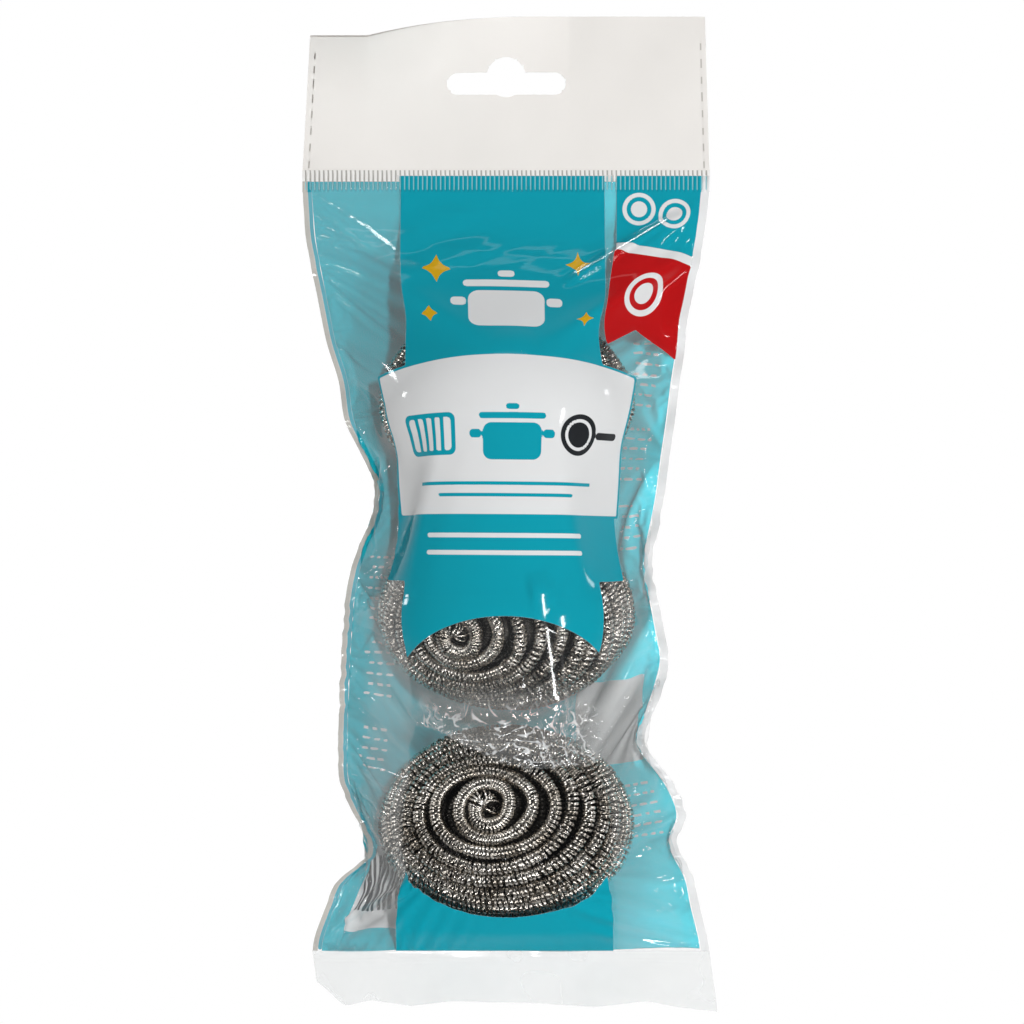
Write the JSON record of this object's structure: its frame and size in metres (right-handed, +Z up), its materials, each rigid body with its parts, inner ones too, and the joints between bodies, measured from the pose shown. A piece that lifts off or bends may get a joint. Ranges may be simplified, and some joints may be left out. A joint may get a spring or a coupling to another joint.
{
  "type": "pot scrubber pack",
  "caption": "Hanging clear film bag with a white slotted header, holding a stack of flattened spiral-wire steel pot scrubbers that roll inside the film.",
  "frame": {"origin": "centre of the hang slot's round lobe, in the middle plane of the header", "axes": "+Z up along the hanging pack, +X to the right as seen from the front, the printed front faces -Y"},
  "size_m": [0.1076, 0.0538, 0.2622],
  "materials": {
    "header_film": "opaque white polypropylene film, satin",
    "printed_film": "clear polypropylene film printed teal on its inside, glossy",
    "clear_film": "clear polypropylene film, glossy and creased",
    "steel_strand": "bright curled stainless ribbon",
    "steel_inner_layers": "shaded inner layers of curled stainless ribbon"
  },
  "bodies": {
    "header": {"header_front_leaf": "header_film", "header_back_leaf": "header_film"},
    "bag": {"top_crimp_seal": "printed_film", "front_film": "clear_film", "back_film": "printed_film", "bottom_seal": "clear_film"},
    "skirt": {"skirt_front_leaf": "clear_film", "skirt_back_leaf": "clear_film"},
    "top_scourer": {"top_scourer_winding": "steel_strand", "top_scourer_core": "steel_inner_layers"},
    "middle_scourer": {"middle_scourer_winding": "steel_strand", "middle_scourer_core": "steel_inner_layers"},
    "bottom_scourer": {"bottom_scourer_winding": "steel_strand", "bottom_scourer_core": "steel_inner_layers"}
  },
  "joints": [
    {"name": "bag_swing", "type": "hinge", "parent": "header", "child": "bag", "pos_m": [0, 0, -0.02465], "axis": [1, 0, 0], "range_deg": [-90, 90]},
    {"name": "skirt_fold", "type": "hinge", "parent": "bag", "child": "skirt", "pos_m": [0, 0, -0.23435], "axis": [1, 0, 0], "range_deg": [-90, 90]},
    {"name": "top_scourer_roll", "type": "hinge", "parent": "bag", "child": "top_scourer", "pos_m": [0, 0, -0.08615], "axis": [1, 0, 0], "continuous": true},
    {"name": "middle_scourer_roll", "type": "hinge", "parent": "bag", "child": "middle_scourer", "pos_m": [0, 0, -0.14165], "axis": [1, 0, 0], "continuous": true},
    {"name": "bottom_scourer_roll", "type": "hinge", "parent": "bag", "child": "bottom_scourer", "pos_m": [0, 0, -0.19715], "axis": [1, 0, 0], "continuous": true}
  ]
}
